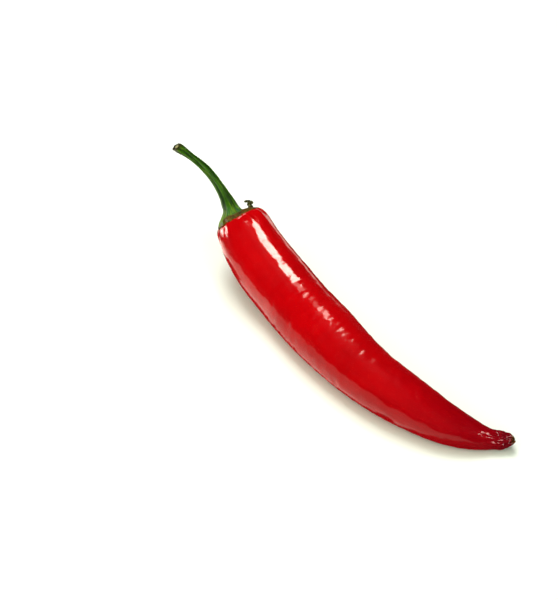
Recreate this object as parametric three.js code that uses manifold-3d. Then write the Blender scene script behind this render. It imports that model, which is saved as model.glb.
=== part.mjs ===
// A long red chilli pepper, as picked: the pod, the green calyx with its stalk, and a withered scrap
// of the flower on the calyx. Millimetres, +Z up. The pod lies on its belly along +X, its neck bent up
// towards the stalk at -X. The origin is under the middle of the whole, on the surface it lies on.
import * as THREE from 'three';
import { mergeVertices } from 'three/addons/utils/BufferGeometryUtils.js';
import Module from 'manifold-3d';

// Driving dimensions
const podLength = 117; // along the curved axis of the pod
const bellyPress = 0.4; // how far the belly is flattened where it rests
const podSides = 36;
const podLobes = 3;
const podLobeDepth = 0.015; // as a share of the radius
const podLobeTurn = 0.036; // radians that the lobes turn for each millimetre along
const calyxLeanSideways = 5; // degrees that the calyx leans off square to the pod, towards +Y
const calyxLeanUp = 4; // degrees that it leans upward
const calyxLeanReach = 18; // how far along the pod the lean fades out
const calyxSides = 40;
const calyxTeeth = 5;
const calyxToothDepth = 0.03; // as a share of the radius
const stalkSides = 20;
const stalkRidges = 5;
const stalkRidgeDepth = 0.05; // as a share of the radius
const scrapSides = 10;

// The pod's axis seen from above, and how far its underside clears the surface: [x, y, clearance]
const podRoute = [
  [-19, 0.3, 14],
  [-10, -1.6, 8],
  [-1.5, -2.6, 4],
  [7, -3.2, 1.5],
  [16, -4.4, 0.2],
  [26, -5.7, 0],
  [38, -6.8, 0],
  [50, -6.7, 0],
  [63, -4.6, 0],
  [73, -1.8, 0],
  [81.2, 3, 0],
  [88.9, 9.3, 1.6],
];

// The pod's outline as [along, radius]: the dished end under the calyx, the flank, and the tip
const podEnd = [
  [0.9, 0],
  [0.3, 4.5],
  [0.5, 7],
];
const podFlank = [
  [2.8, 8.3],
  [10, 9.15],
  [20, 9.8],
  [34, 9.9],
  [48, 9.9],
  [60, 9.2],
  [70, 8.5],
  [80, 7.9],
  [90, 6.9],
  [100, 5.4],
  [107, 3.8],
  [112, 2.6],
];
const podTip = [
  [115.3, 1.8],
  [116.6, 1],
  [podLength, 0],
];

// The calyx's outline as [along the pod, radius], from its top to its underside 0.3 mm off the pod
const calyxOutline = [
  [-2.4, 0],
  [-2.1, 2.5],
  [-1.4, 4.2],
  [-0.8, 5.6],
  [-0.5, 6.6],
  [-0.1, 7.05],
  [0.2, 6.9],
  [0.2, 6.3],
  [0, 4.5],
  [0.6, 0],
];

// The stalk's outline as [share of its length, radius], from the flared foot in the calyx to the cut end
const stalkOutline = [
  [0, 0],
  [0.003, 3.8],
  [0.045, 3.3],
  [0.11, 2.45],
  [0.19, 1.95],
  [0.28, 1.6],
  [0.4, 1.35],
  [0.58, 1.25],
  [0.76, 1.1],
  [0.88, 1.15],
  [0.94, 1.35],
  [0.985, 1.25],
  [1, 0.9],
  [1, 0],
];

// The stalk's foot, from the middle of the calyx: [along the pod, sideways, upward]
const stalkFoot = [-0.9, -1.2, 0];

// The stalk's axis beyond its foot: [x, y, z]
const stalkRoute = [
  [-22.6, 0, 24],
  [-27.4, 0.7, 27.3],
  [-34.4, 1, 30.3],
  [-42.7, 0.1, 32.3],
  [-46.9, -0.8, 33.1],
];

// The withered scrap is a stub with a hooked bar across it, placed from the middle of the calyx
const stubRoute = [
  [-1.5, 4.6, 1.2],
  [-2, 4.9, 1.3],
  [-2.8, 5.2, 1.4],
];
const barRoute = [
  [-3.3, 4.2, 1.1],
  [-3.3, 4.9, 1.4],
  [-2.6, 5.6, 1.6],
  [-1.7, 6.1, 1.6],
];
const stubOutline = [
  [0, 0],
  [0, 0.6],
  [0.5, 0.45],
  [1, 0.4],
  [1, 0],
];
const barOutline = [
  [0, 0],
  [0.02, 0.3],
  [0.4, 0.45],
  [0.8, 0.4],
  [0.98, 0.2],
  [1, 0],
];

const wasm = await Module();
wasm.setup();

// A smooth run of values between stations given as [along, value]
function valueBetween(stations) {
  const places = stations.map(([along]) => along);
  const values = stations.map(([, value]) => value);
  const interpolant = new THREE.CubicInterpolant(places, values, 1);
  return (along) => interpolant.evaluate(along)[0];
}

// A straight turned solid about Y, smooth through outline points given as [along, radius]
function turned(outline, sides, stepsBetween, length = 1) {
  const corners = outline.map(([along, radius]) => new THREE.Vector3(radius, along * length, 0));
  const curve = new THREE.CatmullRomCurve3(corners);
  const profile = curve.getPoints(stepsBetween * (corners.length - 1));
  return new THREE.LatheGeometry(profile, sides);
}

// The upright frame at a place along a path: its axes are forward, sideways and upward
function frameAt(path, along) {
  const step = 0.05;
  const forward = path(along + step).sub(path(along - step)).normalize();
  const sideways = new THREE.Vector3(0, 0, 1).cross(forward).normalize();
  const upward = forward.clone().cross(sideways);
  return new THREE.Matrix4().makeBasis(forward, sideways, upward).setPosition(path(along));
}

// Wraps a turned solid round the frames along its axis; swell scales the radius at an angle from upward
function wrap(solid, frameOf, swell) {
  const places = solid.getAttribute('position');
  const point = new THREE.Vector3();
  for (let i = 0; i < places.count; i += 1) {
    point.fromBufferAttribute(places, i);
    const along = point.y;
    const angle = Math.atan2(point.z, point.x);
    const radius = Math.hypot(point.x, point.z) * swell(angle, along);
    point.set(0, radius * Math.sin(angle), radius * Math.cos(angle));
    point.applyMatrix4(frameOf(along));
    places.setXYZ(i, point.x, point.y, point.z);
  }
  return solid;
}

// One closed solid for joining, from a geometry with its shared corners merged
function toSolid(geometry) {
  geometry.deleteAttribute('uv');
  geometry.deleteAttribute('normal');
  const merged = mergeVertices(geometry, 1e-3);
  return new wasm.Manifold(new wasm.Mesh({
    numProp: 3,
    vertProperties: merged.getAttribute('position').array,
    triVerts: new Uint32Array(merged.index.array),
  }));
}

// A bent tube whose outline is given as [share of its length, radius]
function bentTube(stops, outline, sides, stepsBetween, swell = () => 1) {
  const curve = new THREE.CatmullRomCurve3(stops);
  const length = curve.getLength();
  const path = (along) => curve.getPointAt(THREE.MathUtils.clamp(along / length, 0, 1));
  const straight = turned(outline, sides, stepsBetween, length);
  return toSolid(wrap(straight, (along) => frameAt(path, along), swell));
}

function namedMesh(name, geometry, color, roughness) {
  geometry.computeVertexNormals();
  const material = new THREE.MeshStandardMaterial({ color, roughness, metalness: 0 });
  const mesh = new THREE.Mesh(geometry, material);
  mesh.name = name;
  return mesh;
}

function joinedGeometry(first, second) {
  const mesh = first.add(second).getMesh();
  const geometry = new THREE.BufferGeometry();
  geometry.setAttribute('position', new THREE.BufferAttribute(mesh.vertProperties, 3));
  geometry.setIndex(new THREE.BufferAttribute(mesh.triVerts, 1));
  return geometry;
}

// The pod's centre line: the route from above, lifted by the pod's own radius
const podRadiusAt = valueBetween(podFlank);
const podPlan = new THREE.CatmullRomCurve3(podRoute.map((stop) => new THREE.Vector3(...stop)));
podPlan.arcLengthDivisions = 400;

function podPath(along) {
  const point = podPlan.getPointAt(THREE.MathUtils.clamp(along / podLength, 0, 1));
  point.z += podRadiusAt(along) - bellyPress;
  return point;
}

// The pod's rings lean near the neck, so that its end and the calyx face a little off its axis
function podFrame(along) {
  const fade = 1 - THREE.MathUtils.smoothstep(along, 0, calyxLeanReach);
  const sideways = THREE.MathUtils.degToRad(calyxLeanSideways * fade);
  const up = THREE.MathUtils.degToRad(calyxLeanUp * fade);
  const lean = new THREE.Matrix4().makeRotationZ(sideways);
  lean.multiply(new THREE.Matrix4().makeRotationY(up));
  return frameAt(podPath, along).multiply(lean);
}

// A point placed from the middle of the calyx: along the pod, sideways and upward
function onCalyx(stop) {
  return new THREE.Vector3(...stop).applyMatrix4(podFrame(0));
}

function makePod() {
  const straight = turned([...podEnd, ...podFlank, ...podTip], podSides, 4);
  const lobed = (angle, along) => 1 + podLobeDepth * Math.cos(podLobes * angle + podLobeTurn * along);
  const geometry = wrap(straight, podFrame, lobed);
  const places = geometry.getAttribute('position');
  for (let i = 0; i < places.count; i += 1) {
    places.setZ(i, Math.max(places.getZ(i), 0)); // the flattened belly
  }
  return namedMesh('pod', geometry, '#c80a0a', 0.2);
}

function makeCalyxAndStalk() {
  const calyxFrame = (along) => podFrame(0).setPosition(onCalyx([along, 0, 0]));
  const toothed = (angle) => 1 + calyxToothDepth * Math.cos(calyxTeeth * angle);
  const calyx = toSolid(wrap(turned(calyxOutline, calyxSides, 2), calyxFrame, toothed));

  const ridged = (angle) => 1 + stalkRidgeDepth * Math.cos(stalkRidges * angle);
  const stops = [onCalyx(stalkFoot), ...stalkRoute.map((stop) => new THREE.Vector3(...stop))];
  const stalk = bentTube(stops, stalkOutline, stalkSides, 3, ridged);
  return namedMesh('calyx_and_stalk', joinedGeometry(calyx, stalk), '#3f6b14', 0.55);
}

function makeScrap() {
  const stub = bentTube(stubRoute.map(onCalyx), stubOutline, scrapSides, 3);
  const bar = bentTube(barRoute.map(onCalyx), barOutline, scrapSides, 3);
  return namedMesh('dried_flower_scrap', joinedGeometry(stub, bar), '#4a4a1c', 0.85);
}

const chilli = new THREE.Group();
chilli.add(makePod(), makeCalyxAndStalk(), makeScrap());

const box = new THREE.Box3().setFromObject(chilli);
const middle = box.getCenter(new THREE.Vector3());
chilli.position.set(-middle.x, -middle.y, -box.min.z);

export default chilli;
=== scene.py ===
import math

import bpy
import numpy as np
from mathutils import Matrix, Vector, noise
from mathutils.bvhtree import BVHTree


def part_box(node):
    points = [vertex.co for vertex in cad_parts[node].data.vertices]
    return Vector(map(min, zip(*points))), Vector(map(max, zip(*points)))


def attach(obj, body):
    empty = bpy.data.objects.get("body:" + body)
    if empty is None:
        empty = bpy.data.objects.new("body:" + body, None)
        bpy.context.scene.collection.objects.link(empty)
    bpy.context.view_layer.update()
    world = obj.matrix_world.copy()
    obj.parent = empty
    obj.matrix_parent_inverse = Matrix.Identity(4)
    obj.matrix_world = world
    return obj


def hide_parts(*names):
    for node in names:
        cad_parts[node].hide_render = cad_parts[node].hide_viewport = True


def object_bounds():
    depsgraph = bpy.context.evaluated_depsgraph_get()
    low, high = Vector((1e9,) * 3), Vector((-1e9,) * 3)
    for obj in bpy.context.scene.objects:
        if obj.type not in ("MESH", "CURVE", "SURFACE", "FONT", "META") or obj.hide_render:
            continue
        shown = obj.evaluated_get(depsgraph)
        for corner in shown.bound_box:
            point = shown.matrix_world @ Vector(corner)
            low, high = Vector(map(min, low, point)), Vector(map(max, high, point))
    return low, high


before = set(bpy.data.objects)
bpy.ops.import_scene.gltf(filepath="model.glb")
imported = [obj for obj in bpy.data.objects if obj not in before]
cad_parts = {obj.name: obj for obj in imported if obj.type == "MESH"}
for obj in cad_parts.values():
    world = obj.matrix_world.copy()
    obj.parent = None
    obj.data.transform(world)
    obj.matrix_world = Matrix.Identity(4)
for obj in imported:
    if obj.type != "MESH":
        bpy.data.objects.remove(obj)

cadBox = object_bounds()  # the size every visible piece stays inside
mm = 0.001
fullTurn = 2 * math.pi
scene = bpy.context.scene
print("frame loaded:", sorted(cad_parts))


# finding the shape of a CAD piece from inside it


def treeOf(nodeName):
    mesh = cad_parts[nodeName].data
    return BVHTree.FromPolygons([v.co for v in mesh.vertices], [p.vertices for p in mesh.polygons])


def reach(tree, place, direction):
    distance = tree.ray_cast(place, direction)[3]
    return 0.0 if distance is None else distance


def sideAndUp(forward):
    side = Vector((0, 0, 1)).cross(forward).normalized()
    return side, forward.cross(side)


def recentre(tree, place, forward, rays=16):
    side, up = sideAndUp(forward)
    for _ in range(3):
        pull = Vector()
        for k in range(rays):
            angle = fullTurn * k / rays
            direction = side * math.sin(angle) + up * math.cos(angle)
            pull += direction * reach(tree, place, direction)
        place = place + pull * (2 / rays)
    return place


def walkInside(tree, place, forward, step, farFromEnd):
    # follows the middle of the solid for as long as farFromEnd says so
    place = recentre(tree, place, forward)
    places = [place]
    while farFromEnd(place, forward):
        ahead = recentre(tree, place + forward * step, forward)
        forward = (forward + (ahead - place).normalized()).normalized()
        place = ahead
        places.append(place)
    return places


def smoothAlong(values, spread):
    # Gaussian smoothing down the rows; the spread, in rows, may differ from row to row
    count = len(values)
    spreads = np.broadcast_to(np.asarray(spread, float), (count,))
    rows = np.arange(count)
    result = np.empty_like(values)
    for i in range(count):
        weight = np.exp(-0.5 * ((rows - i) / max(spreads[i], 1e-6)) ** 2)
        result[i] = np.tensordot(weight / weight.sum(), values, axes=(0, 0))
    return result


def evenLine(places, step, spread):
    # the same line with its points step apart, smoothed over spread
    line = np.array([tuple(p) for p in places])
    along = np.r_[0, np.cumsum(np.linalg.norm(np.diff(line, axis=0), axis=1))]
    count = max(int(along[-1] / step), 4)
    stops = np.linspace(0, along[-1], count + 1)
    line = np.stack([np.interp(stops, along, line[:, k]) for k in range(3)], axis=1)
    fromEnd = np.minimum(np.arange(count + 1), np.arange(count + 1)[::-1])
    return smoothAlong(line, np.minimum(spread / step, 0.4 * fromEnd))


def unit(vectors):
    return vectors / np.maximum(np.linalg.norm(vectors, axis=-1, keepdims=True), 1e-12)


def framesOf(forward):
    side = unit(np.cross((0, 0, 1), forward))
    return side, np.cross(forward, side)


def measureRings(tree, centres, forward, elevation, columns, keepWaves):
    # distance from each centre to the skin, all the way round, without the CAD's facets
    around = np.arange(columns) * fullTurn / columns
    side, up = framesOf(forward)
    flat = np.cos(elevation)[:, None, None]
    lean = (np.sin(elevation)[:, None] * forward)[:, None]
    ways = side[:, None] * np.sin(around)[:, None] + up[:, None] * np.cos(around)[:, None]
    ways = ways * flat + lean
    reached = np.array([[reach(tree, Vector(c), Vector(w)) for w in row]
                        for c, row in zip(centres, ways)])
    waves = np.fft.rfft(reached, axis=1)
    waves[:, keepWaves + 1:] = 0
    return ways, np.fft.irfft(waves, columns, axis=1)


# meshes from rings of points


def ringNormals(rings):
    across = np.roll(rings, -1, axis=1) - np.roll(rings, 1, axis=1)
    normals = unit(np.cross(across, np.gradient(rings, axis=0)))
    outward = rings - rings.mean(axis=1, keepdims=True)
    return normals if (normals * outward).sum() > 0 else -normals


def ringMesh(name, rings, startPole, endPole, values):
    # a closed skin over the rings with a point at each end; the values are stored on its points
    rows, columns = rings.shape[:2]
    points = np.concatenate([[startPole], rings.reshape(-1, 3), [endPole]])
    faces = []
    last = 1 + (rows - 1) * columns
    for j in range(columns):
        k = (j + 1) % columns
        faces.append((0, 1 + j, 1 + k))
        faces += [(a + j, a + columns + j, a + columns + k, a + k) for a in range(1, last, columns)]
        faces.append((last + k, last + j, len(points) - 1))
    mesh = bpy.data.meshes.new(name)
    mesh.from_pydata(points.tolist(), [], faces)
    for key, value in values.items():
        value = np.asarray(value, float)
        vector = value.ndim == 3
        flat = value.reshape(rows * columns, -1)
        flat = np.concatenate([[value[0].mean(axis=0).ravel()], flat, [value[-1].mean(axis=0).ravel()]])
        layer = mesh.attributes.new(key, "FLOAT_VECTOR" if vector else "FLOAT", "POINT")
        layer.data.foreach_set("vector" if vector else "value", flat.ravel())
    mesh.polygons.foreach_set("use_smooth", [True] * len(mesh.polygons))
    mesh.update()
    piece = bpy.data.objects.new(name, mesh)
    scene.collection.objects.link(piece)
    return piece


def noiseAt(points, size, seed):
    # soft random values from -1 to 1 that change over about size
    offset = Vector((seed * 7.31, seed * 3.17, seed * 5.73))
    flat = (np.asarray(points).reshape(-1, 3) / np.asarray(size)).tolist()
    return np.array([noise.noise(Vector(p) + offset) for p in flat]).reshape(np.shape(points)[:-1])


def ease(value, low, high):
    share = np.clip((value - low) / (high - low), 0, 1)
    return share * share * (3 - 2 * share)


def hump(value, middle, width):
    return np.exp(-((value - middle) / width) ** 2)


# how a finish is laid out


class Paint:
    # a material and short ways to add its nodes
    def __init__(self, name):
        self.material = bpy.data.materials.new(name)
        self.material.use_nodes = True
        self.tree = self.material.node_tree
        self.sockets = self.tree.nodes["Principled BSDF"].inputs

    def add(self, kind, settings=None, **inputs):
        node = self.tree.nodes.new(kind)
        for key, value in (settings or {}).items():
            setattr(node, key, value)
        for key, value in inputs.items():
            self.put(node.inputs[key], value)
        return node

    def put(self, socket, value):
        if isinstance(value, bpy.types.NodeSocket):
            self.tree.links.new(value, socket)
        else:
            socket.default_value = value

    def read(self, name, kind="Fac"):
        return self.add("ShaderNodeAttribute", {"attribute_name": name}).outputs[kind]

    def noise(self, place, scale, detail=3, roughness=0.55, stretch=(1, 1, 1)):
        scaled = self.add("ShaderNodeMapping", Vector=place, Scale=stretch).outputs["Vector"]
        return self.add("ShaderNodeTexNoise", Vector=scaled, Scale=scale, Detail=detail,
                        Roughness=roughness).outputs["Fac"]

    def ramp(self, value, stops):
        node = self.add("ShaderNodeValToRGB", Fac=value)
        line = node.color_ramp
        while len(line.elements) < len(stops):
            line.elements.new(0.5)
        for element, (place, colour) in zip(line.elements, stops):
            element.position = place
            element.color = (*colour, 1)
        return node.outputs["Color"]

    def grade(self, value, low, high, start=0.0, end=1.0):
        # turns low..high smoothly into start..end
        node = self.add("ShaderNodeMapRange", {"interpolation_type": "SMOOTHSTEP"}, Value=value)
        for key, number in zip(("From Min", "From Max", "To Min", "To Max"), (low, high, start, end)):
            node.inputs[key].default_value = number
        return node.outputs["Result"]

    def mix(self, share, first, second, how="MIX"):
        node = self.add("ShaderNodeMix", {"data_type": "RGBA", "blend_type": how})
        colourA, colourB, result = node.inputs[6], node.inputs[7], node.outputs[2]
        for socket, value in ((node.inputs["Factor"], share), (colourA, first), (colourB, second)):
            self.put(socket, value)
        return result

    def darken(self, share, colour, tint):
        return self.mix(share, colour, self.mix(1.0, colour, tint, "MULTIPLY"))

    def math(self, how, first, second):
        node = self.add("ShaderNodeMath", {"operation": how})
        self.put(node.inputs[0], first)
        self.put(node.inputs[1], second)
        return node.outputs[0]

    def ragged(self, value, pattern, strength):
        # the value with its even edge broken up by a pattern
        return self.math("ADD", value, self.math("MULTIPLY", self.math("SUBTRACT", pattern, 0.5), strength))

    def bump(self, height, strength, distance, below=None):
        inputs = {"Height": height, "Strength": strength, "Distance": distance}
        if below is not None:
            inputs["Normal"] = below
        return self.add("ShaderNodeBump", **inputs).outputs["Normal"]

    def wear(self, piece, values, fixed):
        # values may come from nodes; fixed ones are the same all over
        for key, value in values.items():
            self.put(self.sockets[key], value)
        for key, value in fixed.items():
            self.sockets[key].default_value = value
        piece.data.materials.clear()
        piece.data.materials.append(self.material)


# the pod

pod = {
    "around": 216,  # points round each ring
    "step": 0.32 * mm,
    "endRings": 40,  # over the shoulder and under the calyx
    "tipRings": 20,
    "neckFocus": 8 * mm,  # the shoulder is measured from this far inside the end
    "tipFocus": 2.4 * mm,
    "leanReach": 18 * mm,  # over which the rings turn from square to the axis to the end's own lean
    "keepWaves": 5,  # how many waves round a ring are kept from the CAD
    "lineSmooth": 5 * mm,
    "smooth": 1.6 * mm,
    # size and height in mm of each kind of unevenness
    "swell": (16, 0.10),
    "dimple": (2.8, 0.075),
    "pebble": (0.95, 0.020),
    "ripple": (1.7, 0.115),
    "rippleWidth": 3.6,
    "rippleLeast": 0.10,  # share of the ripples at the shoulder
    "rippleGrows": (20, 37),  # along the pod, in mm
    "rippleFades": (72, 108, 0.6),
    "puckers": (13, 0.22),  # folds round the calyx and their depth
    "puckerPlace": (1.3, 2.4),  # middle and length along the pod, in mm
    "puckersFrom": (5.5, 7.3),  # they grow between these distances from the middle, in mm
    # single hollows and bulges: along in mm, turn in degrees, length, width, height in mm
    "marks": [(4.2, -16, 1.6, 1.5, -0.10), (6.5, -12, 1.5, 1.3, -0.05), (3.0, 26, 2.0, 2.2, 0.08),
              (9, 22, 3.0, 2.0, 0.05), (2.5, -60, 1.8, 2.0, 0.10), (58, -12, 3.0, 3.0, -0.05),
              (73, -4, 2.0, 2.4, -0.04), (110.6, 50, 2.6, 3.2, 0.50), (107.0, 60, 1.6, 2.5, -0.10),
              (112.2, -30, 0.8, 1.0, 0.22), (113.8, -8, 0.7, 0.9, 0.20), (111.0, 0, 0.8, 1.2, 0.16),
              (109.6, -25, 0.7, 1.4, 0.12)],
    "pinch": (108.5, 2.2, 0.06),  # place along the pod, width and depth of the waist before the tip
    "tipFolds": (0.62, 103, 112),  # height, and where along the pod they start and are full, in mm
    "tipKnobs": (0.7, 106, 113),  # the height is a share of the folds'
    # the finish, from the shoulder to the tip; the reds darken towards the tip, partly the pod's own deeper
    # red there and partly painted shade for the light falling off away from the shoulder
    "redsWithPaintedFalloff": [(0.0, (0.53, 0.0004, 0.002)), (0.35, (0.48, 0.0003, 0.002)), (0.62, (0.44, 0.0003, 0.002)),
             (0.82, (0.34, 0.0003, 0.003)), (0.93, (0.27, 0.0004, 0.004)), (0.98, (0.15, 0.0008, 0.005))],
    "clouds": (0.09, 0.55, (0.72, 0.6, 0.8, 1)),  # how fine, how strong, and the tint
    "streaks": (0.8, 0.35, (0.8, 0.6, 0.8, 1)),
    "specks": (2.6, 0.35, (0.75, 0.03, 0.01, 1)),
    "dryPoint": (0.07, 0.035, 0.008, 1),
    "roughness": (0.19, 0.34),
    "coat": 1.0,  # at the shoulder; less on the ripples
    "coatOnRipples": 0.34,
    "fixed": {"Coat Roughness": 0.085, "Coat IOR": 1.5, "Specular IOR Level": 0.04, "Subsurface Weight": 0.12,
              "Subsurface Radius": (1.0, 0.1, 0.06), "Subsurface Scale": 0.0012},
}


def measurePod():
    tree = treeOf("pod")
    low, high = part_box("pod")
    middle = (low + high) / 2
    toTip = walkInside(tree, middle, Vector((1, 0, 0)), 1 * mm,
                       lambda place, way: reach(tree, place, way) > pod["tipFocus"])
    toNeck = walkInside(tree, middle, Vector((-1, 0, 0)), 1 * mm,
                        lambda place, way: reach(tree, place, way) > pod["neckFocus"])
    line = evenLine(list(reversed(toNeck)) + toTip[1:], pod["step"], pod["lineSmooth"])
    # rays in a cone find how the stalk end leans
    rays, coneSpread = 24, 0.55
    start = Vector(line[0])
    back = Vector(line[0] - line[3]).normalized()
    side, up = sideAndUp(back)
    hits = []
    for k in range(rays):
        angle = fullTurn * k / rays
        way = (back + (side * math.sin(angle) + up * math.cos(angle)) * coneSpread).normalized()
        hits.append(np.array(start + way * reach(tree, start, way)))
    hits = np.array(hits)
    normal = np.linalg.svd(hits - hits.mean(axis=0))[2][2]
    normal = normal if normal @ np.array(back) > 0 else -normal
    return tree, line, hits.mean(axis=0), normal


def makePod():
    tree, line, endMiddle, endNormal = measurePod()
    tangent = unit(np.gradient(line, axis=0))
    arc = np.r_[0, np.cumsum(np.linalg.norm(np.diff(line, axis=0), axis=1))]
    leaning = 1 - ease(arc, 0, pod["leanReach"])[:, None]
    forward = unit(tangent * (1 - leaning) - endNormal * leaning)
    # the rings fan out over both ends and stand square to the line between
    ends, tips = pod["endRings"], pod["tipRings"]
    quarter = math.pi / 2
    elevation = np.concatenate([np.linspace(-quarter, 0, ends + 1)[1:-1], np.zeros(len(line)),
                                np.linspace(0, quarter, tips + 1)[1:-1]])
    rows = np.clip(np.arange(len(elevation)) - (ends - 1), 0, len(line) - 1)
    centres, forward = line[rows], forward[rows]
    ways, distance = measureRings(tree, centres, forward, elevation, pod["around"], pod["keepWaves"])
    fanSpread = ends / 20  # in rings
    spread = np.where(elevation == 0, pod["smooth"] / pod["step"], fanSpread)
    distance = smoothAlong(distance, smoothAlong(spread[:, None], 3)[:, 0])
    rings = centres[:, None] + ways * distance[:, :, None]
    # extra smoothing where the fans meet the straight rows
    ringRows = np.arange(len(rings))
    fromEnd = np.minimum(ringRows, ringRows[::-1])
    atFocus = hump(ringRows, ends - 1, 9) + hump(ringRows, len(rings) - tips, 6) * 0.4
    rings = smoothAlong(rings, np.minimum(0.4 * fromEnd, 0.8 + 3.5 * atFocus))

    depth = reach(tree, Vector(line[0]), Vector(endNormal))
    around = np.broadcast_to(np.arange(pod["around"]) * fullTurn / pod["around"], distance.shape)
    along = (depth + arc[rows][:, None] + distance * np.sin(elevation)[:, None]) / mm
    out = distance * np.cos(elevation)[:, None] / mm
    typicalRadius = 9
    grain = np.stack([np.cos(around) * typicalRadius, np.sin(around) * typicalRadius, along], axis=2)
    normals = ringNormals(rings)
    rings = rings + normals * podRelief(rings, along, around, out, grain)[:, :, None] * mm
    rings[:, :, 2] = np.maximum(rings[:, :, 2], 0)
    skin = ringMesh("pod_skin", rings, rings[0].mean(axis=0), rings[-1].mean(axis=0),
                    {"along": along / along.max(), "out": out, "grain": grain})
    return skin, endMiddle, endNormal


def podRelief(rings, along, around, out, grain):
    # how far the real skin stands above or below the plain CAD shape, in mm
    size, height = pod["swell"]
    relief = noiseAt(rings, size * mm, 3) * height
    for kind, seed in (("dimple", 11), ("pebble", 15)):
        size, height = pod[kind]
        relief = relief + noiseAt(grain, size, seed) * height
    size, height = pod["ripple"]
    fadeStart, fadeEnd, fade = pod["rippleFades"]
    rippled = ease(along, *pod["rippleGrows"]) * (1 - fade * ease(along, fadeStart, fadeEnd))
    rippled = pod["rippleLeast"] + (1 - pod["rippleLeast"]) * rippled
    relief = relief + noiseAt(grain, (pod["rippleWidth"], pod["rippleWidth"], size), 5) * height * rippled
    count, height = pod["puckers"]
    wobble = noiseAt(grain, (5, 5, 30), 9) * 5
    nearCalyx = hump(along, *pod["puckerPlace"]) * ease(out, *pod["puckersFrom"])
    depth = height * (0.55 + 0.9 * np.abs(noiseAt(grain, 6, 12)))
    relief = relief + np.cos(count * around + wobble) * depth * nearCalyx
    turn = np.degrees(around)
    for place, angle, length, width, height in pod["marks"]:
        sideways = np.radians((turn - angle + 180) % 360 - 180) * np.maximum(out, 1)
        relief = relief + hump(along, place, length) * hump(sideways, 0, width) * height
    place, width, height = pod["pinch"]
    relief = relief - hump(along, place, width) * height
    height, start, full = pod["tipFolds"]
    folds = noiseAt(grain * (0.35, 0.35, 1), (0.8, 0.8, 3.5), 21) * height * ease(along, start, full)
    share, start, full = pod["tipKnobs"]
    knobs = noiseAt(grain * (0.3, 0.3, 1), (0.9, 0.9, 1.2), 25) * height * share * ease(along, start, full)
    return relief + folds + knobs


def paintPod():
    paint = Paint("chilliSkin")
    along, grain = paint.read("along"), paint.read("grain", "Vector")
    fine = paint.noise(grain, 3.0, 3)
    # red along the pod, darker towards the tip: partly its own colour, partly painted shade
    colour = paint.ramp(along, pod["redsWithPaintedFalloff"])
    scale, strength, tint = pod["clouds"]
    colour = paint.darken(paint.grade(paint.noise(grain, scale, 4), 0.35, 0.7, 0.0, strength), colour, tint)
    scale, strength, tint = pod["streaks"]
    streaks = paint.noise(grain, scale, 3, stretch=(1, 1, 0.12))
    colour = paint.darken(paint.grade(streaks, 0.45, 0.75, 0.0, strength), colour, tint)
    scale, strength, red = pod["specks"]
    colour = paint.mix(paint.grade(paint.noise(grain, scale, 1), 0.66, 0.78, 0.0, strength), colour, red)
    colour = paint.mix(paint.grade(along, 0.992, 0.999), colour, pod["dryPoint"])
    skin = paint.bump(paint.noise(grain, 1.3, 2), 0.3, 0.00004)
    onRipples = paint.grade(along, 0.25, 0.35, pod["coat"], pod["coatOnRipples"])
    bloom = paint.grade(paint.noise(grain, 0.9, 3), 0.35, 0.7, 1.0, 0.75)  # the wax is thinner in spots
    paint.wear(podSkin, {
        "Base Color": colour,
        "Roughness": paint.grade(fine, 0.3, 0.8, *pod["roughness"]),
        "Normal": paint.bump(fine, 0.15, 0.00002, skin),
        "Coat Weight": paint.math("MULTIPLY", onRipples, bloom),
    }, pod["fixed"])


podSkin, calyxMiddle, calyxNormal = makePod()
print("pod made:", len(podSkin.data.polygons), "faces")


# the stalk and the calyx it opens into, one skin from the cut end to the underside

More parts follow.
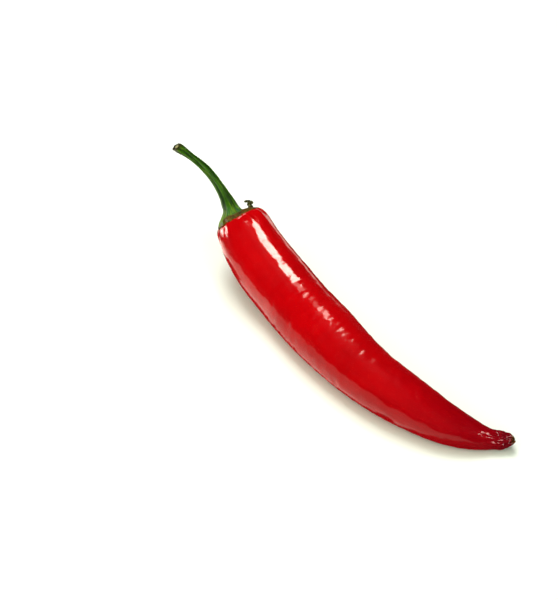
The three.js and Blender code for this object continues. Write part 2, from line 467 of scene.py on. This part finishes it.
stalk = {
    "around": 168,
    "step": 0.22 * mm,
    "footGap": 4.6 * mm,  # where the flare begins, measured above the end of the pod
    "keepWaves": 5,
    "lineSmooth": 2.5 * mm,
    "smooth": 0.8 * mm,
    # the cut face: share of the radius and how deep it lies, in mm
    "cutFace": [(0.0, 0.16), (0.3, 0.18), (0.55, 0.22), (0.75, 0.14), (0.86, 0.02), (0.94, -0.03),
                (1.0, 0.06)],
    "cutSlant": (0.85, (0.1, -0.35, 1.0)),  # how steep the cut is and which way it opens
    "slantFade": 4,  # in mm along the stalk
    "flareRings": 40,
    "discRings": 22,
    "footRadius": 4.0 * mm,  # where the flare meets the calyx
    "footHeight": 1.35 * mm,
    "footShift": -0.7 * mm,
    "flareBend": 0.62,  # how long the flare keeps the stalk's own direction
    "dome": 0.34 * mm,
    "rimTop": 0.12 * mm,  # heights above the end of the pod
    "rimDrop": 0.50 * mm,
    "thick": 0.50 * mm,
    "teeth": (5, 0.45),  # points round the rim and how far they stand out, in mm
    "toothTurn": 0.45,  # in radians
    "toothSharp": 7,
    "rimInset": 0.1,  # in mm
    "rimWaves": [(3.2, 0.8, 31), (8, 0.6, 37)],  # fineness, size in mm and seed
    "flush": 0.6,  # how far the green side of the rim draws in, in mm
    # the underside: how far in from the rim, in mm, and share of the thickness
    "underside": [(-0.10, 0.2), (-0.12, 0.5), (-0.04, 0.85), (0.15, 1.0), (0.6, 1.0), (1.4, 0.9),
                  (3, 0.7), (5, 0.6)],
    "ridges": (5, 0.07, 0.26),  # count, height in mm on the stalk and on the flare
    "threads": 0.07,
    # the thicker cut end and the waist after it: place from the cut, length and height, in mm
    "knobs": [(1.8, 2.2, 0.07), (6.4, 1.8, -0.11)],
    "frayed": (0.35, 1.0),  # how rough the rim of the cut is and how far it reaches, in mm
    "lumps": (0.09, 0.10),  # on the stalk and on the calyx, in mm
    "skirtSide": (-0.67, -0.74, 0.0),  # here the green runs out to the rim
    "skirtEdge": (3.0, 4.8),  # how far out it takes over from the brown, in mm
    "brownFrom": (4.6, 6.4),
    # the finish
    "green": (0.024, 0.088, 0.001, 1),
    "deepGreen": (0.006, 0.024, 0.001, 1),
    "lightGreen": (0.15, 0.27, 0.012, 1),
    "blueGreen": (0.030, 0.13, 0.040, 1),
    "rim": (0.14, 0.070, 0.008, 1),
    "darkRim": (0.020, 0.018, 0.002, 1),
    "cutEdge": (0.006, 0.008, 0.002, 1),
    "scorched": (0.030, 0.026, 0.004, 1),
    "cutMiddle": (0.40, 0.38, 0.17, 1),
    "roughness": (0.38, 0.6),
    "fixed": {"Specular IOR Level": 0.08, "Subsurface Weight": 0.08, "Subsurface Radius": (0.4, 1.0, 0.2),
              "Subsurface Scale": 0.0006},
}


def measureStalk(tree):
    # the line down the middle, from the cut to the foot
    points = np.array([v.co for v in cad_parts["calyx_and_stalk"].data.vertices])
    cut = points[points[:, 0] < points[:, 0].min() + 0.6 * mm].mean(axis=0)
    inward = Vector(calyxMiddle - cut).normalized()
    middle, normal = Vector(calyxMiddle), Vector(calyxNormal)
    places = walkInside(tree, Vector(cut) + inward * 1.4 * mm, inward, 0.5 * mm,
                        lambda place, way: (place - middle).dot(normal) > stalk["footGap"])
    back = (places[0] - places[2]).normalized()
    first = places[0] + back * (reach(tree, places[0], back) - 0.1 * mm)
    return evenLine([first] + places, stalk["step"], stalk["lineSmooth"])


def cutAndTube(tree, line, forward):
    ways, distance = measureRings(tree, line, forward, np.zeros(len(line)), stalk["around"],
                                  stalk["keepWaves"])
    distance[:4] = distance[4]  # too near the cut to measure
    distance = smoothAlong(distance, stalk["smooth"] / stalk["step"])
    tube = line[:, None] + ways * distance[:, :, None]
    # the cut slants, and the slant fades out within a few mm
    steep, opens = stalk["cutSlant"]
    opens = np.array(opens) - forward[0] * (np.array(opens) @ forward[0])
    lean = ((tube - line[:, None]) @ unit(opens)) * steep
    fade = 1 - ease(np.arange(len(line)) * stalk["step"] / mm, 0, stalk["slantFade"])
    tube = tube + forward[:, None] * (lean * fade[:, None])[:, :, None]
    face = [line[0] + (tube[0] - line[0]) * share + forward[0] * depth * mm
            for share, depth in stalk["cutFace"][1:]]
    return face, tube


def ringShares(count):
    return np.linspace(0, 1, count + 1)[1:, None, None]


def openFlare(line, forward, tube, radial):
    # leaves along the stalk and spreads until it meets the calyx
    heading = unit(tube[-1] - tube[-5])
    side = framesOf(-calyxNormal)[0]
    fall = ((line[-1] - calyxMiddle) @ calyxNormal - stalk["footHeight"]) / (-forward[-1] @ calyxNormal)
    footMiddle = line[-1] + forward[-1] * fall + side * stalk["footShift"]
    meet = footMiddle + radial * stalk["footRadius"]
    bend = tube[-1] + heading * fall * stalk["flareBend"]
    share = ringShares(stalk["flareRings"])
    return tube[-1] * (1 - share) ** 2 + bend * 2 * share * (1 - share) + meet * share ** 2


def calyxDisc(tree, meet, around, radial):
    # runs on from the flare to the toothed rim, then back underneath
    probe = calyxMiddle + calyxNormal * 0.4 * mm
    rim = measureRings(tree, probe[None], -calyxNormal[None], np.zeros(1), stalk["around"],
                       stalk["keepWaves"])[1]
    count, size = stalk["teeth"]
    tooth = np.abs(np.cos(around * count / 2 + stalk["toothTurn"])) ** stalk["toothSharp"]
    wave = sum(noiseAt(radial * fineness, 1, seed) * height for fineness, height, seed in stalk["rimWaves"])
    flush = ease(-radial @ np.array(stalk["skirtSide"]), 0.3, 0.95) * stalk["flush"]
    outer = rim[0] + (tooth * size + wave - stalk["rimInset"] - flush) * mm
    lift = noiseAt(radial * 4, 1, 33) * 0.12 * mm
    height = (stalk["rimTop"] - tooth * stalk["rimDrop"] - wave * 0.5 * mm + lift)[:, None]
    edge = calyxMiddle + radial * outer[:, None] + calyxNormal * height
    share = ringShares(stalk["discRings"])
    disc = meet * (1 - share) + edge * share + calyxNormal * stalk["dome"] * np.sin(share * math.pi)
    thick = stalk["thick"]
    under = [calyxMiddle + radial * (outer - inset * mm)[:, None] + calyxNormal * (height - thick * drop)
             for inset, drop in stalk["underside"]]
    return disc, under


def downParts(parts, *values):
    # a column down the rings: each part has one number, or one for every ring
    return np.concatenate([value * np.ones(len(part)) for part, value in zip(parts, values)])[:, None]


def climb(part):
    return np.linspace(0, 1, len(part))


def stalkRelief(rings, turn, along, fromCut, grain, onFlare, onDisc, hidden):
    count, low, high = stalk["ridges"]
    twist = turn + 0.02 * along + 0.15 * noiseAt(grain, (4, 4, 9), 8)
    tall = low + (high - low) * hump(onFlare + onDisc, 0.6, 0.45) * (1 - onDisc)
    furrow = np.cos(count * twist) + 0.4 * np.cos(2 * count * twist + 1)
    thread = noiseAt(grain, (0.4, 0.4, 5), 4) * stalk["threads"]
    onStalk, onCalyxTop = stalk["lumps"]
    lump = noiseAt(grain, (2.4, 2.4, 2.8), 6) * onStalk + noiseAt(rings, 1.1 * mm, 14) * onCalyxTop * onDisc
    swelling = sum(hump(fromCut, place, length) * height for place, length, height in stalk["knobs"])
    rough, extent = stalk["frayed"]
    frayed = noiseAt(grain, (0.9, 0.9, 0.9), 19) * rough * hump(fromCut, 0, extent)
    relief = (furrow * tall + thread + lump) * ease(along, 0.3, 2.0) * (1 - hidden)
    return furrow, relief + (swelling + frayed) * (fromCut >= 0)


def dryness(rings, onFlare, onDisc):
    # 1 on the brown rim and 0 on the green, which runs out to the rim on its skirt side
    fromMiddle = rings - calyxMiddle
    fromMiddle = fromMiddle - (fromMiddle @ calyxNormal)[:, :, None] * calyxNormal
    dry = ease(np.linalg.norm(fromMiddle, axis=2) / mm, *stalk["brownFrom"]) * ease(onFlare, 0.6, 1.0)
    dry = np.maximum(dry, ease(onDisc, 0.0, 0.25) * 0.8)
    skirt = ease(fromMiddle @ np.array(stalk["skirtSide"]) / mm, *stalk["skirtEdge"])
    return np.maximum(dry * (1 - 0.9 * skirt), ease(onDisc, 0.8, 0.95))


def makeStalk():
    tree = treeOf("calyx_and_stalk")
    line = measureStalk(tree)
    forward = unit(np.gradient(line, axis=0))
    around = np.arange(stalk["around"]) * fullTurn / stalk["around"]
    side, up = framesOf(-calyxNormal)
    radial = side * np.sin(around)[:, None] + up * np.cos(around)[:, None]
    face, tube = cutAndTube(tree, line, forward)
    flare = openFlare(line, forward, tube, radial)
    disc, under = calyxDisc(tree, flare[-1], around, radial)
    parts = [face, tube, flare, disc, under]
    rings = np.concatenate(parts)

    every = np.ones(rings.shape[:2])
    steps = np.linalg.norm(np.diff(rings, axis=0), axis=2).mean(axis=1)
    along = (np.r_[0, np.cumsum(steps)] / mm)[:, None] * every
    fromCut = along - along[len(face) - 1]
    turn = around * every
    typicalRadius = 2
    grain = np.stack([np.cos(turn) * typicalRadius, np.sin(turn) * typicalRadius, along], axis=2)
    faceShares = np.array([share for share, _ in stalk["cutFace"][1:]])
    atCut = downParts(parts, 1 - faceShares * 0.9, 0, 0, 0, 0)
    onFlare = downParts(parts, 0, 0, climb(flare), 1, 1)
    onDisc = downParts(parts, 0, 0, 0, climb(disc), 1)
    hidden = downParts(parts, 0, 0, 0, 0, climb(under))
    dry = dryness(rings, onFlare, onDisc)
    furrow, relief = stalkRelief(rings, turn, along, fromCut, grain, onFlare, onDisc, hidden)
    rings = rings + ringNormals(rings) * relief[:, :, None] * mm
    return ringMesh("green_stalk", rings, line[0] + forward[0] * stalk["cutFace"][0][1] * mm,
                    calyxMiddle + calyxNormal * (stalk["rimTop"] - stalk["thick"]),
                    {"fromCut": fromCut, "furrow": furrow, "flare": onFlare * every, "atCut": atCut * every,
                     "dry": dry, "grain": grain})


def paintStalk():
    paint = Paint("stalkGreen")
    grain, atCut = paint.read("grain", "Vector"), paint.read("atCut")
    threads = paint.noise(grain, 1.3, 4, 0.7, (1, 1, 0.10))
    patches = paint.noise(grain, 0.35, 3)
    mottle = paint.noise(grain, 1.6, 4, 0.7)
    # green down the stalk, darker in the furrows and lighter on the ridges as painted shade and light;
    # lighter and bluer where it opens, partly its own paler tone and partly painted sheen
    ridgesLitFurrowsShaded = paint.grade(paint.ragged(paint.read("furrow"), threads, 4.0), -0.9, 0.5)
    colour = paint.mix(ridgesLitFurrowsShaded, stalk["deepGreen"], stalk["green"])
    colour = paint.mix(paint.grade(patches, 0.45, 0.70, 0.0, 0.6), colour, stalk["deepGreen"])
    colour = paint.mix(paint.grade(threads, 0.52, 0.76, 0.0, 0.7), colour, stalk["lightGreen"])
    # the flare's lighter bluish green: partly its own paler tone, partly painted light and sheen
    flareToneAndSheen = paint.mix(paint.grade(threads, 0.40, 0.60), stalk["blueGreen"], stalk["lightGreen"])
    colour = paint.mix(paint.grade(paint.read("flare"), 0.0, 0.7, 0.0, 0.5), colour, flareToneAndSheen)
    # the dry rim
    rim = paint.mix(paint.grade(paint.noise(grain, 3.2, 3), 0.40, 0.60), stalk["rim"], stalk["darkRim"])
    colour = paint.mix(paint.grade(paint.ragged(paint.read("dry"), mottle, 0.8), 0.35, 0.6), colour, rim)
    # the cut, pale in the middle, with a scorched edge
    pale = paint.grade(paint.ragged(atCut, mottle, 2.2), 0.42, 0.70)
    cut = paint.mix(pale, stalk["cutEdge"], stalk["cutMiddle"])
    colour = paint.mix(paint.grade(atCut, 0.02, 0.12), colour, cut)
    nearCut = paint.grade(paint.ragged(paint.read("fromCut"), mottle, 5.0), 0.6, 1.3, 0.9, 0.0)
    outside = paint.grade(atCut, 0.0, 0.1, 1.0, 0.0)
    colour = paint.mix(paint.math("MULTIPLY", nearCut, outside), colour, stalk["scorched"])
    skin = paint.bump(threads, 0.6, 0.00015)
    paint.wear(greenStalk, {
        "Base Color": colour,
        "Roughness": paint.grade(threads, 0.3, 0.8, *stalk["roughness"]),
        "Normal": paint.bump(mottle, 0.4, 0.00008, skin),
    }, stalk["fixed"])


greenStalk = makeStalk()
print("stalk made:", len(greenStalk.data.polygons), "faces")


# the dried scrap of flower left on the calyx

scrap = {
    # stations: outward, sideways and upward from the middle of the calyx, and radius, in mm
    "stub": [(0.9, 4.9, 1.25, 0.95), (1.6, 5.0, 1.3, 0.80), (2.3, 5.05, 1.38, 0.66), (2.9, 5.1, 1.42, 0.60)],
    "bar": [(3.45, 3.95, 1.00, 0.24), (3.5, 4.3, 1.1, 0.36), (3.35, 4.75, 1.3, 0.42), (3.0, 5.2, 1.4, 0.50),
            (2.6, 5.6, 1.5, 0.48), (2.2, 5.95, 1.55, 0.40), (1.9, 6.2, 1.6, 0.26)],
    "spike": [(2.8, 5.0, 1.2, 0.30), (2.35, 4.6, 1.0, 0.25), (2.15, 4.35, 0.85, 0.18)],
    "rings": 24,  # along each limb
    "sides": 14,
    "flatten": (0.8, 1.15),
    "voxel": 0.10 * mm,
    "crinkle": 0.22,
    # the finish
    "colours": [(0.38, (0.008, 0.010, 0.002)), (0.52, (0.030, 0.032, 0.006)), (0.66, (0.22, 0.20, 0.06))],
    "roughness": (0.6, 0.85),
    "fixed": {"Specular IOR Level": 0.15},
}


def onCalyx(outward, sideways, upward):
    side, up = framesOf(-calyxNormal)
    return calyxMiddle + (calyxNormal * outward + side * sideways + up * upward) * mm


def limb(stations):
    # a small tapering tube through the stations, flattened a little and rounded off at both ends
    count = scrap["rings"]
    points = np.array([onCalyx(*station[:3]) for station in stations])
    radii = np.array([station[3] for station in stations]) * mm
    stops = np.linspace(0, len(points) - 1, count)
    line = np.stack([np.interp(stops, range(len(points)), points[:, k]) for k in range(3)], axis=1)
    line = smoothAlong(line, np.minimum(2.0, 0.4 * np.minimum(np.arange(count), np.arange(count)[::-1])))
    rounded = np.sqrt(np.clip(1 - np.abs(np.linspace(-1, 1, count)) ** 12, 0.15, 1))
    radius = np.interp(stops, range(len(points)), radii) * rounded
    side, up = framesOf(unit(np.gradient(line, axis=0)))
    around = np.arange(scrap["sides"]) * fullTurn / scrap["sides"]
    thin, wide = scrap["flatten"]
    ring = side[:, None] * np.sin(around)[:, None] * thin + up[:, None] * np.cos(around)[:, None] * wide
    return line[:, None] + ring * radius[:, None, None], line


def makeScrap():
    limbs = []
    for stations in (scrap["stub"], scrap["bar"], scrap["spike"]):
        rings, line = limb(stations)
        limbs.append(ringMesh("scrap_limb", rings, line[0], line[-1], {}))
    piece = limbs[0]
    with bpy.context.temp_override(active_object=piece, selected_editable_objects=limbs):
        bpy.ops.object.join()
    remesh = piece.modifiers.new("oneSkin", "REMESH")
    remesh.mode = "VOXEL"
    remesh.voxel_size = scrap["voxel"]
    remesh.use_smooth_shade = True
    soften = piece.modifiers.new("soften", "SMOOTH")
    soften.iterations = 1
    bpy.context.view_layer.update()
    mesh = bpy.data.meshes.new_from_object(piece.evaluated_get(bpy.context.evaluated_depsgraph_get()))
    points = np.array([v.co for v in mesh.vertices])
    normals = np.array([v.normal for v in mesh.vertices])
    points += normals * (noiseAt(points, 0.5 * mm, 17) * scrap["crinkle"] * mm)[:, None]
    mesh.vertices.foreach_set("co", points.ravel())
    mesh.update()
    bpy.data.objects.remove(piece)
    piece = bpy.data.objects.new("flower_scrap", mesh)
    scene.collection.objects.link(piece)
    return piece


def paintScrap():
    paint = Paint("driedScrap")
    mottle = paint.noise(paint.add("ShaderNodeTexCoord").outputs["Object"], 1500, 3)
    paint.wear(flowerScrap, {
        "Base Color": paint.ramp(mottle, scrap["colours"]),
        "Roughness": paint.grade(mottle, 0.3, 0.7, *scrap["roughness"]),
        "Normal": paint.bump(mottle, 0.6, 0.0001),
    }, scrap["fixed"])


flowerScrap = makeScrap()
print("scrap made:", len(flowerScrap.data.polygons), "faces")

paintPod()
paintStalk()
paintScrap()
print("finishes done")

for piece, node, slot in ((podSkin, "pod", "pod_skin"), (greenStalk, "calyx_and_stalk", "green_stalk"),
                          (flowerScrap, "dried_flower_scrap", "dried_scrap")):
    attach(piece, "root")
    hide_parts(node)


# the table top, the lights and the camera

studio = {
    "floorSize": 12.0,
    "floor": {"Base Color": (0.93, 0.97, 0.89, 1), "Roughness": 0.9, "Specular IOR Level": 0.1},
    "aboveTable": 0.003,  # what the gloss sees where there is no lamp or card
    "belowTable": (0.32, 0.012, 0.018, 1),
    "horizon": 0.04,
    "backdrop": 0.95,  # what the camera sees past the floor
    "cardColour": (1.0, 0.90, 0.76),
    "cardHeight": 0.0003,
}
# way and far place a lamp from the middle of the model, aside moves it sideways, all in metres;
# a lamp for the gloss only shows as a reflection, and the others only light the surfaces
lamps = {
    "softbox": {"way": (-0.10, 0.41, 0.90), "aside": (-0.018, 0.0, 0.006), "far": 0.088,
                "size": (0.016, 0.042), "glow": 24.0, "colour": (1.0, 0.93, 0.80), "forGloss": True},
    "softboxEdge": {"way": (-0.10, 0.42, 0.90), "aside": (-0.038, 0.0, 0.006), "far": 0.089,
                    "size": (0.024, 0.034), "glow": 5.0, "colour": (1.0, 0.88, 0.75), "forGloss": True},
    "endBox": {"way": (-0.85, 0.20, 0.45), "aside": (-0.036, 0.0, 0.008), "far": 0.080,
               "size": (0.014, 0.034), "glow": 9.0, "colour": (1.0, 0.95, 0.85), "forGloss": True},
    "leftBox": {"way": (-0.90, -0.42, -0.05), "aside": (-0.037, -0.005, 0.006), "far": 0.034,
                "size": (0.018, 0.016), "glow": 13.0, "colour": (1.0, 0.95, 0.85), "forGloss": True},
    "tipBox": {"way": (0.90, 0.15, 0.30), "aside": (0.053, 0.009, -0.009), "far": 0.022,
               "size": (0.009, 0.009), "glow": 24.0, "colour": (1.0, 0.90, 0.80), "forGloss": True},
    "key": {"way": (-0.20, 0.08, 0.95), "aside": (-0.02, 0, 0), "far": 0.50, "size": (0.27, 0.27),
            "glow": 9.0, "colour": (1.0, 0.985, 1.0), "forGloss": False},
    "fill": {"way": (0.25, -0.55, 0.80), "aside": (0, 0, 0), "far": 2.0, "size": (3.2, 3.2),
             "glow": 1.9, "colour": (0.94, 1.0, 0.86), "forGloss": False},
}
# pale cards lying on the table, seen only in the gloss: lowest and highest x, y in metres, and glow
cards = {
    "frontCard": (-0.038, 0.130, -0.33, -0.0120, 1.4),
    "tipCard": (0.040, 0.130, -0.0120, -0.0090, 1.4),
    "neckCard": (-0.060, -0.050, -0.022, 0.004, 2.0),
    "shoulderCard": (-0.140, -0.080, -0.028, 0.006, 3.8),
    "sideCard": (-0.064, -0.038, -0.060, -0.018, 1.2),
    "farCard": (-0.110, -0.036, 0.060, 0.130, 1.4),
}
# angles in degrees; distance and aim are shares of the CAD box
view = {"azimuth": 48, "elevation": 45, "distance": 3.7830, "aim": (0.3457, 0.6162, 0), "lens": 100}
boxLow, boxHigh = (np.array(corner) for corner in cadBox)


def setFloor():
    half = studio["floorSize"] / 2
    corners = [(-half, -half, 0), (half, -half, 0), (half, half, 0), (-half, half, 0)]
    mesh = bpy.data.meshes.new("floor")
    mesh.from_pydata(corners, [], [(0, 1, 2, 3)])
    floor = bpy.data.objects.new("floor", mesh)
    scene.collection.objects.link(floor)
    Paint("paleFloor").wear(floor, {}, studio["floor"])
    floor.visible_glossy = False  # the cards stand for it in the gloss


def areaLamp(name, long, wide, glow, colour):
    lamp = bpy.data.lights.new(name, "AREA")
    lamp.shape = "RECTANGLE"
    lamp.size, lamp.size_y = long, wide
    lamp.energy = glow * math.pi * lamp.size * lamp.size_y
    lamp.color = colour
    holder = bpy.data.objects.new(name, lamp)
    holder.visible_camera = False
    scene.collection.objects.link(holder)
    return holder


def setLamp(name, lampSet, aim):
    holder = areaLamp(name, *lampSet["size"], lampSet["glow"], lampSet["colour"])
    way = Vector(lampSet["way"]).normalized()
    holder.location = aim + Vector(lampSet["aside"]) + way * lampSet["far"]
    lengthwise = Vector((1, 0, 0)) if abs(way.x) < 0.8 else Vector((0, 0, 1))
    lengthwise = (lengthwise - way * lengthwise.dot(way)).normalized()  # the long side lies with the pod
    across = way.cross(lengthwise)
    holder.rotation_euler = Matrix((lengthwise, across, way)).transposed().to_euler()
    holder.visible_glossy = lampSet["forGloss"]
    holder.visible_diffuse = not lampSet["forGloss"]


def setCard(name, lowX, highX, lowY, highY, glow):
    card = areaLamp(name, highX - lowX, highY - lowY, glow, studio["cardColour"])
    card.location = ((lowX + highX) / 2, (lowY + highY) / 2, studio["cardHeight"])
    card.rotation_euler = (math.pi, 0, 0)
    card.visible_diffuse = False


def setSurround():
    # dark above the table and red below it for the gloss, and a pale backdrop for the camera
    world = bpy.data.worlds.new("studio")
    world.use_nodes = True
    tree = world.node_tree
    height = tree.nodes.new("ShaderNodeSeparateXYZ")
    ramp = tree.nodes.new("ShaderNodeValToRGB")
    low, high = ramp.color_ramp.elements
    low.position, low.color = 0.0, studio["belowTable"]
    high.position, high.color = studio["horizon"], grey(studio["aboveTable"])
    pale = tree.nodes.new("ShaderNodeBackground")
    pale.inputs["Color"].default_value = grey(studio["backdrop"])
    choose = tree.nodes.new("ShaderNodeMixShader")
    tree.links.new(tree.nodes.new("ShaderNodeTexCoord").outputs["Generated"], height.inputs[0])
    tree.links.new(height.outputs["Z"], ramp.inputs["Fac"])
    tree.links.new(ramp.outputs["Color"], tree.nodes["Background"].inputs["Color"])
    tree.links.new(tree.nodes.new("ShaderNodeLightPath").outputs["Is Camera Ray"], choose.inputs[0])
    tree.links.new(tree.nodes["Background"].outputs[0], choose.inputs[1])
    tree.links.new(pale.outputs[0], choose.inputs[2])
    tree.links.new(choose.outputs[0], tree.nodes["World Output"].inputs["Surface"])
    scene.world = world


def grey(value):
    return (value, value, value, 1)


def setCamera():
    aim = Vector(boxLow + (boxHigh - boxLow) * view["aim"])
    turn, rise = math.radians(view["azimuth"]), math.radians(view["elevation"])
    back = Vector((math.sin(turn) * math.cos(rise), -math.cos(turn) * math.cos(rise), math.sin(rise)))
    camera = bpy.data.objects.new("camera", bpy.data.cameras.new("camera"))
    camera.data.lens = view["lens"]
    camera.location = aim + back * view["distance"] * float(boxHigh[0] - boxLow[0])
    camera.rotation_euler = back.to_track_quat("Z", "Y").to_euler()
    scene.collection.objects.link(camera)
    scene.camera = camera


middle = Vector((boxLow + boxHigh) / 2)
setFloor()
setSurround()
for name, lampSet in lamps.items():
    setLamp(name, lampSet, middle)
for name, cardSet in cards.items():
    setCard(name, *cardSet)
setCamera()
scene.view_settings.view_transform = "Standard"
print("studio set")
